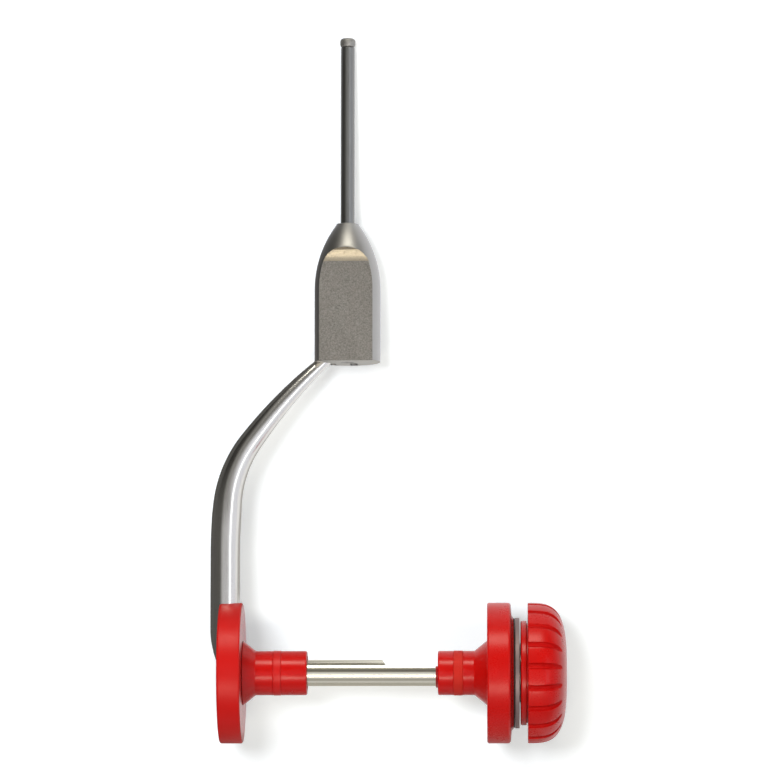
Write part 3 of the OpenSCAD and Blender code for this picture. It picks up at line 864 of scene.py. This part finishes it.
class AddShaft(bpy.types.Operator):
    """Adds the plated shaft with its long flat"""
    bl_idname = "holder.add_shaft"
    bl_label = "Shaft"

    def execute(self, context):
        sizes = spool()
        spigot_x, end_x = along_spool("shaft")
        inner = along_spool("guard_disc")[1]
        shaft_r = sizes.shaft_d / 2
        clip_low, clip_high = along_spool("left_clip")
        groove_low, groove_high = clip_low - RUN_GAP, clip_high + RUN_GAP
        hole_x = spigot_x + SCREW_HOLE_LEN
        shaft = turned("shaft_turned", [
            (spigot_x, SCREW_HOLE_R), (spigot_x, SPIGOT_R, 0.1), (inner - 0.5, SPIGOT_R),
            (inner - 0.5, shaft_r, 0.1), (groove_low, shaft_r), (groove_low, CLIP_GROOVE_R),
            (groove_high, CLIP_GROOVE_R), (groove_high, shaft_r), (end_x, shaft_r, 0.35),
            (end_x, 0.0), (hole_x, 0.0), (hole_x, SCREW_HOLE_R)])
        flat_x, past_x, past_y = inner + sizes.round_reach, end_x + 5.0, 8.0
        cut(shaft, prism("shaft_mill", (
            (flat_x - 0.2, shaft_r + 0.3), (flat_x + sizes.runout, sizes.shaft_flat),
            (past_x, sizes.shaft_flat), (past_x, past_y), (flat_x - 0.2, past_y))))
        soften(shaft, 0.06, 35.0, 2)
        set_down(shaft, "holder", "shaft", lined_metal(
            "Nickel plate", finishes().nickel, 0.17, (3.0, 2600.0, 2600.0), spread=0.02,
            shade=0.03, relief=0.0, wear=0.0))
        return {"FINISHED"}


def grip_groove(ring_name):
    """Corners of the groove in a boss that a grip ring is seated in."""
    low, high = along_spool(ring_name)
    floor_r = boss_r - spool().grip_depth
    return (low, boss_r, 0.06), (low, floor_r), (high, floor_r), (high, boss_r, 0.06)


def add_grip_ring(body, node_name, rubber):
    """Adds a rubber ring with a rounded crown, seated in its groove."""
    low, high, crown = round_box(node_name)
    grip = ring(node_name + "_moulded", low, high, boss_r - spool().grip_depth, crown, 0.12)
    set_down(grip, body, node_name, rubber)


class AddLeftHub(bpy.types.Operator):
    """Adds the left cone and boss with its grip ring"""
    bl_idname = "holder.add_left_hub"
    bl_label = "Left Hub"

    def execute(self, context):
        sizes = spool()
        low, high = along_spool("left_hub")
        bore_r = sizes.shaft_d / 2 + RUN_GAP
        washer_r = round_box("left_washer")[2]
        foot = along_spool("guard_disc")[1] + 0.06
        mouth_x = high - 1.0
        hub = turned("left_hub_moulded", [
            (low, bore_r), (low, washer_r + 0.1), (foot, washer_r + 0.2),
            (foot, sizes.cone_d / 2, 0.04), (low + sizes.cone_len, boss_r, 0.5),
            *grip_groove("left_grip_ring"), (high, boss_r, 0.28), (high, LEFT_MOUTH_R, 0.08),
            (mouth_x, LEFT_MOUTH_R), (mouth_x, bore_r)], steps=144)
        set_down(hub, "left_hub", "left_hub", smooth_red())
        add_grip_ring("left_hub", "left_grip_ring", moulded(
            "Worn grip rubber", finishes().red, 0.40, 5200.0, 0.000003, 0.9, 0.4))
        return {"FINISHED"}


class AddRightHub(bpy.types.Operator):
    """Adds the right boss, cone and flange with the grip ring and the friction disc"""
    bl_idname = "holder.add_right_hub"
    bl_label = "Right Hub"

    def execute(self, context):
        sizes = spool()
        low, high, disc_r = round_box("right_hub")
        cone_x = low + sizes.right_boss
        flange_x = cone_x + sizes.cone_len
        back_x = flange_x + sizes.flange_t
        bore_r, pad_r = sizes.core_d / 2 + RUN_GAP, sizes.pad_d / 2
        mouth_x, mouth_r = low + 1.2, sizes.nose_d / 2 + 0.48
        room_x, room_r = high - 1.15, sizes.thread_d / 2 + 0.25
        hub = turned("right_hub_moulded", [
            (low, mouth_r, 0.08), (low, boss_r, 0.28), *grip_groove("right_grip_ring"),
            (cone_x, boss_r, 0.5), (flange_x, sizes.cone_d / 2, 0.12),
            (flange_x, disc_r, sizes.edge_round), (back_x, disc_r, 0.5),
            (back_x + 0.18, pad_r + 0.5, 0.4), (high, pad_r, 0.12), (high, room_r),
            (room_x, room_r), (room_x, bore_r), (mouth_x, bore_r), (mouth_x, mouth_r)],
            steps=160)
        paint(hub, (smooth_red(), satin_red()), lambda face: int(face.center.x > flange_x - 0.02))
        set_down(hub, "right_hub", "right_hub")
        add_grip_ring("right_hub", "right_grip_ring", moulded(
            "Grip rubber", finishes().grip_red, 0.62, 5200.0, 0.000006, 0.8))
        # The friction disc is near black; its black also paints the shade in the gap beside it
        low, high, disc_r = round_box("friction_disc")
        friction = ring("friction_disc_punched", low, high, room_r, disc_r, 0.04, 144)
        set_down(friction, "right_hub", "friction_disc", moulded(
            "Friction fibre with painted gap shade", finishes().fibre, 0.8, 9000.0, 0.00001))
        return {"FINISHED"}


class AddDragUnit(bpy.types.Operator):
    """Adds the key nose and the steel pressure disc"""
    bl_idname = "holder.add_drag_unit"
    bl_label = "Drag Unit"

    def execute(self, context):
        sizes = spool()
        low, high = along_spool("key_nose")
        nose_r, bore_r = sizes.nose_d / 2, sizes.shaft_d / 2 + RUN_GAP
        nose = turned("key_nose_moulded", [
            (low, bore_r, 0.05), (low, nose_r, 0.1), (high, nose_r, 0.05), (high, bore_r)],
            steps=112)
        before, lip, past_y = low - 2.0, low + sizes.nose_lip, 8.0
        cut(nose, prism("nose_mill", ((before, sizes.nose_flat), (lip, sizes.nose_flat),
                                      (lip, past_y), (before, past_y))))
        set_down(nose, "drag_slide", "key_nose", moulded(
            "Dark red plastic", finishes().dark_red, 0.32))
        low, high, disc_r = round_box("pressure_disc")
        disc = ring("pressure_disc_stamped", low, high, sizes.thread_d / 2 + RUN_GAP, disc_r,
                    0.05, 160)
        # The disc's pinkish tint is a painted red reflection
        set_down(disc, "drag_slide", "pressure_disc", lined_metal(
            "Stamped steel with painted red reflection", finishes().stamped, 0.58, (90.0, 1500.0, 1500.0)))
        return {"FINISHED"}


def dome_outline(start, span, radius, last_radius, steps=34):
    """Points of the knob's domed side from its rim to the cap's edge."""
    power = knob_sizes().dome_power
    points = []
    for k in range(steps + 1):
        share = math.sin(math.pi / 2 * k / steps)
        across = radius * (1 - share ** power) ** (1 / power)
        if across <= last_radius:
            break
        points.append(Vector((start + span * share, across)))
    share = (1 - (last_radius / radius) ** power) ** (1 / power)
    points.append(Vector((start + span * share, last_radius)))
    return points


def rib_cutters(dome, start):
    """A round bar along the dome's outline for each groove, which lifts out at its end."""
    sizes = knob_sizes()
    depth = sizes.groove_depth
    bar_r = (sizes.groove_w ** 2 / 4 + depth ** 2) / (2 * depth)
    path = [Vector((start - 1.0, dome[0].y))] + dome
    places = []
    for i, place in enumerate(path):
        if place.y > sizes.groove_end - 0.6:
            ahead = path[min(i + 1, len(path) - 1)] - path[max(i - 1, 0)]
            outward = Vector((-ahead.y, ahead.x)).normalized()
            fade = max(0.0, 1 - (place.y - sizes.groove_end) / sizes.groove_fade) ** 2
            place = place + outward * (bar_r - depth + fade * depth)
            places.append((place.x, 0.0, place.y))
    bar = round_bar("groove_bar", places, [1.0] * len(places), bar_r, 6)
    bar.rotation_euler = (-sizes.first_groove, 0.0, 0.0)
    bpy.ops.object.transform_apply(rotation=True)
    bpy.ops.object.mode_set(mode="EDIT")
    bpy.ops.mesh.select_all(action="SELECT")
    bpy.ops.mesh.spin(steps=sizes.ribs - 1, dupli=True, angle=math.tau * (1 - 1 / sizes.ribs),
                      center=(0.0, 0.0, 0.0), axis=(1.0, 0.0, 0.0))
    bpy.ops.object.mode_set(mode="OBJECT")
    return bar


class AddKnob(bpy.types.Operator):
    """Adds the ribbed knob and the cap in its end"""
    bl_idname = "holder.add_knob"
    bl_label = "Knob"

    def execute(self, context):
        sizes = knob_sizes()
        collar_x, _, radius = round_box("adjusting_knob")
        cap_x, end_x, cap_r = round_box("knob_cap")
        nut_x, nut_end, nut_r = round_box("knob_nut")
        start = collar_x + sizes.collar_len
        span = end_x - start
        collar_r = sizes.collar_d / 2
        neck_x, neck_r = start - 0.22, collar_r - 0.4
        collar = filleted([
            (collar_x, CHAMBER_R), (collar_x, collar_r, 0.25), (neck_x, collar_r, 0.08),
            (neck_x, neck_r), (start, neck_r), (start, radius, 0.12), (start + 0.6, radius)])[:-1]
        dome = dome_outline(start, span, radius, cap_r + 0.02)[2:]
        rim_x = dome[-1].x
        knob = turned("adjusting_knob_moulded", collar + dome + [
            (rim_x - 0.05, cap_r), (cap_x, cap_r), (cap_x, CAP_SEAT_R), (nut_end, CAP_SEAT_R),
            (nut_end, nut_r), (nut_x, nut_r), (nut_x, CHAMBER_R)], steps=180)
        cut(knob, rib_cutters(dome_outline(start, span, radius, cap_r), start))
        soften(knob, 0.07, 28.0, 2)
        power = sizes.dome_power

        def choose(face):
            """The number of a face's material: satin, smooth, or the groove red that is darker as
            painted shade.
            """
            if face.center.x < start - 0.1:
                return 1
            share = min(1.0, max(0.0, (face.center.x - start) / span))
            depth = (radius * (1 - share ** power) ** (1 / power)
                     - math.hypot(face.center.y, face.center.z))
            return 2 if share < 0.9 and 0.08 < depth < 1.0 and face.normal.x > -0.5 else 0

        # The grooves' darker, duller red is painted shade
        groove_shade_red = moulded("Groove red plastic with painted shade", finishes().groove_shade_red, 0.5, 4200.0, 0.000003,
                             gloss=0.12)
        paint(knob, (satin_red(), smooth_red(), groove_shade_red), choose)
        set_down(knob, "knob", "adjusting_knob")
        cap_r -= 0.03
        crown = [point for point in dome_outline(start, span, radius, 0.0, 60)
                 if 0 < point.y < cap_r - 0.1]
        cap = turned("knob_cap_moulded", [
            (cap_x, 0.0), (cap_x, cap_r), (rim_x - 0.08, cap_r), (rim_x, cap_r - 0.08), *crown,
            (end_x, 0.0)], steps=96, closed=False)
        set_down(cap, "knob", "knob_cap", satin_red())
        return {"FINISHED"}


class FinishInnerPieces(bpy.types.Operator):
    """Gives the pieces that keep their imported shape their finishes"""
    bl_idname = "holder.finish_inner_pieces"
    bl_label = "Inner Pieces"

    def execute(self, context):
        brass = lined_metal("Turned brass", finishes().brass, 0.25, (3000.0, 140.0, 140.0))
        nylon = moulded("Nylon", finishes().nylon, 0.45, 5000.0)
        steel = spring_steel()
        for name, material in (
                ("shaft_screw", steel), ("left_washer", nylon), ("left_clip", steel),
                ("slide_tube", brass), ("leaf_spring", steel), ("stop_clip", steel),
                ("drag_spring", steel), ("spring_seat", steel), ("knob_nut", brass)):
            piece = frame["nodes"][name]
            if not piece.material_slots:
                piece.data.materials.append(material)
            for place in piece.material_slots:
                place.material = material
        return {"FINISHED"}


# The stage

def mirror_ray(tree, rays):
    return maths(tree, "MAXIMUM", rays["Is Glossy Ray"], rays["Is Transmission Ray"])


def grey(level):
    return (level, level, level, 1.0)


def table_material():
    """Pale card to the camera; in mirrors it is dark left of the holder and bright right of it."""
    material = bpy.data.materials.new("Table")
    material.use_nodes = True
    tree = material.node_tree
    tree.nodes.clear()
    across = node(tree, "VectorMath", {0: object_place(tree), 1: tuple(crossing)},
                  operation="SUBTRACT")
    parts = node(tree, "SeparateXYZ", {"Vector": across.outputs[0]}).outputs
    x, y = parts["X"], parts["Y"]
    # The lit card starts at the holder's left outline
    lit = rise(tree, maths(tree, "SUBTRACT", x, rise(tree, y, 0.027, 0.075, -0.022, -0.001)),
               -0.004, 0.006)
    # Bright card in mirrors: right of a line that runs from right of the flange to the body,
    # and between the two discs
    line = maths(tree, "ADD", rise(tree, y, -0.020, 0.012, 0.038, 0.009),
                 rise(tree, y, 0.012, 0.032, 0.0, -0.016))
    right = rise(tree, maths(tree, "SUBTRACT", x, line), -0.004, 0.004)
    between = times(tree, rise(tree, maths(tree, "ABSOLUTE", y), 0.013, 0.010),
                    rise(tree, x, -0.0195, -0.0175))
    bright = maths(tree, "MAXIMUM", right, between)
    rays = node(tree, "LightPath").outputs
    mirrored = mirror_ray(tree, rays)
    seen = blend_colours(tree, lit, grey(0.10), grey(0.45))
    card = blend_colours(tree, mirrored, grey(0.72), seen)
    tone = blend_colours(tree, rays["Is Camera Ray"], card, (0.85, 0.89, 0.935, 1.0))
    surface = node(tree, "BsdfDiffuse", {"Color": tone})
    glow = maths(tree, "ADD", times(tree, rays["Is Camera Ray"], 0.30),
                 times(tree, mirrored, bright, 0.6))
    lift = node(tree, "Emission", {"Color": (0.94, 0.96, 1.0, 1.0), "Strength": glow})
    both = node(tree, "AddShader", {0: surface.outputs[0], 1: lift.outputs[0]})
    mixed = node(tree, "MixShader", {0: node(tree, "NewGeometry").outputs["Backfacing"],
                                     1: both.outputs[0],
                                     2: node(tree, "BsdfTransparent").outputs[0]})
    node(tree, "OutputMaterial", {"Surface": mixed.outputs[0]})
    return material


def add_lamp(name, direction, size, power, tone, mirrored=True):
    """A soft box 0.9 m away that looks at the holder; its first side lies along the spool axis."""
    clear_selection()
    way = Vector(direction).normalized()
    long_side = (spool_way - way * way.dot(spool_way)).normalized()
    facing = Matrix((long_side, way.cross(long_side), way)).transposed()
    bpy.ops.object.light_add(type="AREA", location=crossing + way * 0.9,
                             rotation=facing.to_euler())
    lamp = bpy.context.active_object
    lamp.name = name
    lamp.data.shape = "RECTANGLE"
    lamp.data.size, lamp.data.size_y = size
    lamp.data.energy = power
    lamp.data.color = tone
    lamp.visible_glossy = mirrored


def studio_world():
    """White to the camera and dim to diffuse rays; in mirrors it is dim left, above and below."""
    world = bpy.data.worlds.new("Studio")
    bpy.context.scene.world = world
    world.use_nodes = True
    tree = world.node_tree
    background = next(n for n in tree.nodes if n.type == "BACKGROUND")
    way = node(tree, "TexCoord").outputs["Generated"]
    parts = node(tree, "SeparateXYZ", {"Vector": way}).outputs

    def ramp(axis, start, end, low, high):
        """A level that rises smoothly from low to high as one axis goes from start to end."""
        return rise(tree, parts[axis], start, end, low, high, interpolation_type="SMOOTHSTEP")

    side = ramp("X", -0.62, -0.22, 0.11, 1.0)
    above = times(tree, ramp("Z", 0.75, 0.96, 0.0, 1.0), ramp("Y", 0.0, 0.32, 0.0, 0.76))
    tipward = ramp("Y", 0.14, 0.55, 1.0, 0.28)
    low = maths(tree, "ADD", ramp("Y", -0.8, -0.5, 0.42, 1.0), ramp("Y", -0.96, -0.88, 0.33, 0.0))
    shown = times(tree, side, maths(tree, "SUBTRACT", 1.0, above), times(tree, tipward, low))
    rays = node(tree, "LightPath").outputs
    given = node(tree, "Mix", {0: mirror_ray(tree, rays), 2: 0.25, 3: shown}).outputs[0]
    level = node(tree, "Mix", {0: rays["Is Camera Ray"], 2: given, 3: 1.0}).outputs[0]
    tint = blend_colours(tree, level, (1.0, 0.96, 0.87, 1.0), (0.93, 0.94, 1.0, 1.0))
    feed(tree, background, {"Color": tint, "Strength": level})


class SetStage(bpy.types.Operator):
    """Sets the table, the lamps, the world and the camera"""
    bl_idname = "holder.set_stage"
    bl_label = "Stage"

    def execute(self, context):
        context.scene.view_settings.view_transform = "Standard"
        clear_selection()
        bpy.ops.mesh.primitive_plane_add(size=3.0, location=(0.0, 0.0, 0.0))
        table = context.active_object
        table.name = "table"
        table.data.materials.append(table_material())
        add_lamp("back_lamp", (0.06, 1.73, 1.0), (0.46, 0.25), 3.0, (1.0, 0.95, 0.82))
        add_lamp("front_lamp", (0.08, -0.40, 1.0), (0.60, 0.18), 2.3, (1.0, 0.92, 0.76))
        add_lamp("side_lamp", (0.84, 0.0, 1.0), (0.12, 0.7), 0.6, (0.95, 0.96, 1.0))
        add_lamp("key_lamp", (-0.27, 0.25, 1.0), (0.24, 0.24), 4.1, (1.0, 1.0, 1.0), False)
        studio_world()
        set_camera()
        return {"FINISHED"}


# The photo's size and scale in pixels, where its two axes lie, and how its camera stood
PHOTO_SIZE = 768
PIXELS_PER_MM = 6.0
SPOOL_AXIS_ROW = 673.0
TUBE_AXIS_COLUMN = 347.1
NADIR = (498.0, 400.0)
CAMERA_HEIGHT = 767.0
CAMERA_ROLL = math.radians(0.12)
AIM_SHIFT = 0.6


def photo_point(column, row):
    """The place of a photo pixel on the level of the spool axis, in metres."""
    x = (column - TUBE_AXIS_COLUMN) / PIXELS_PER_MM
    y = (SPOOL_AXIS_ROW - row) / PIXELS_PER_MM
    return crossing + Vector((x, y, 0.0)) * MM


def set_camera():
    """Puts the camera above the right flange, looking at the photo's middle."""
    clear_selection()
    eye = photo_point(*NADIR) + Vector((0.0, 0.0, CAMERA_HEIGHT * MM))
    middle = photo_point(PHOTO_SIZE / 2 + AIM_SHIFT, PHOTO_SIZE / 2)
    back = (eye - middle).normalized()
    side = Vector((math.sin(CAMERA_ROLL), math.cos(CAMERA_ROLL), 0.0)).cross(back).normalized()
    upright = back.cross(side)
    bpy.ops.object.camera_add(location=eye)
    camera = bpy.context.active_object
    turned_to = Matrix((side, upright, back)).transposed().to_4x4()
    camera.matrix_world = Matrix.Translation(eye) @ turned_to
    camera.data.sensor_width = 36.0
    frame_mm = PHOTO_SIZE / PIXELS_PER_MM
    camera.data.lens = camera.data.sensor_width * (middle - eye).length / MM / frame_mm
    camera.data.clip_start = 0.01
    camera.data.clip_end = 20.0
    bpy.context.scene.camera = camera


class HolderPanel(bpy.types.Panel):
    """Lists the holder's pieces, sizes and finishes"""
    bl_idname = "VIEW3D_PT_holder"
    bl_label = "Bobbin Holder"
    bl_space_type = "VIEW_3D"
    bl_region_type = "UI"
    bl_category = "Bobbin Holder"

    def draw(self, context):
        layout = self.layout
        for operator in PIECE_OPERATORS:
            layout.operator(operator.bl_idname)
        for group in (handle(), spool(), knob_sizes(), finishes()):
            box = layout.box()
            for key in group.__annotations__:
                box.prop(group, key)


PIECE_OPERATORS = (AddThreadTube, AddBody, AddArm, AddGuardDisc, AddShaft, AddLeftHub,
                   AddRightHub, AddDragUnit, AddKnob, FinishInnerPieces, SetStage)
PROPERTY_GROUPS = (("holder_handle", HandleSizes), ("holder_spool", SpoolSizes),
                   ("holder_knob", KnobSizes), ("holder_finishes", Finishes))


def register():
    for name, group in PROPERTY_GROUPS:
        bpy.utils.register_class(group)
        setattr(bpy.types.Scene, name, bpy.props.PointerProperty(type=group))
    for operator in PIECE_OPERATORS:
        bpy.utils.register_class(operator)
    bpy.utils.register_class(HolderPanel)


def unregister():
    bpy.utils.unregister_class(HolderPanel)
    for operator in reversed(PIECE_OPERATORS):
        bpy.utils.unregister_class(operator)
    for name, group in reversed(PROPERTY_GROUPS):
        delattr(bpy.types.Scene, name)
        bpy.utils.unregister_class(group)


def main():
    register()
    for operator in PIECE_OPERATORS:
        family, name = operator.bl_idname.split(".")
        getattr(getattr(bpy.ops, family), name)()


if __name__ == "__main__":
    main()
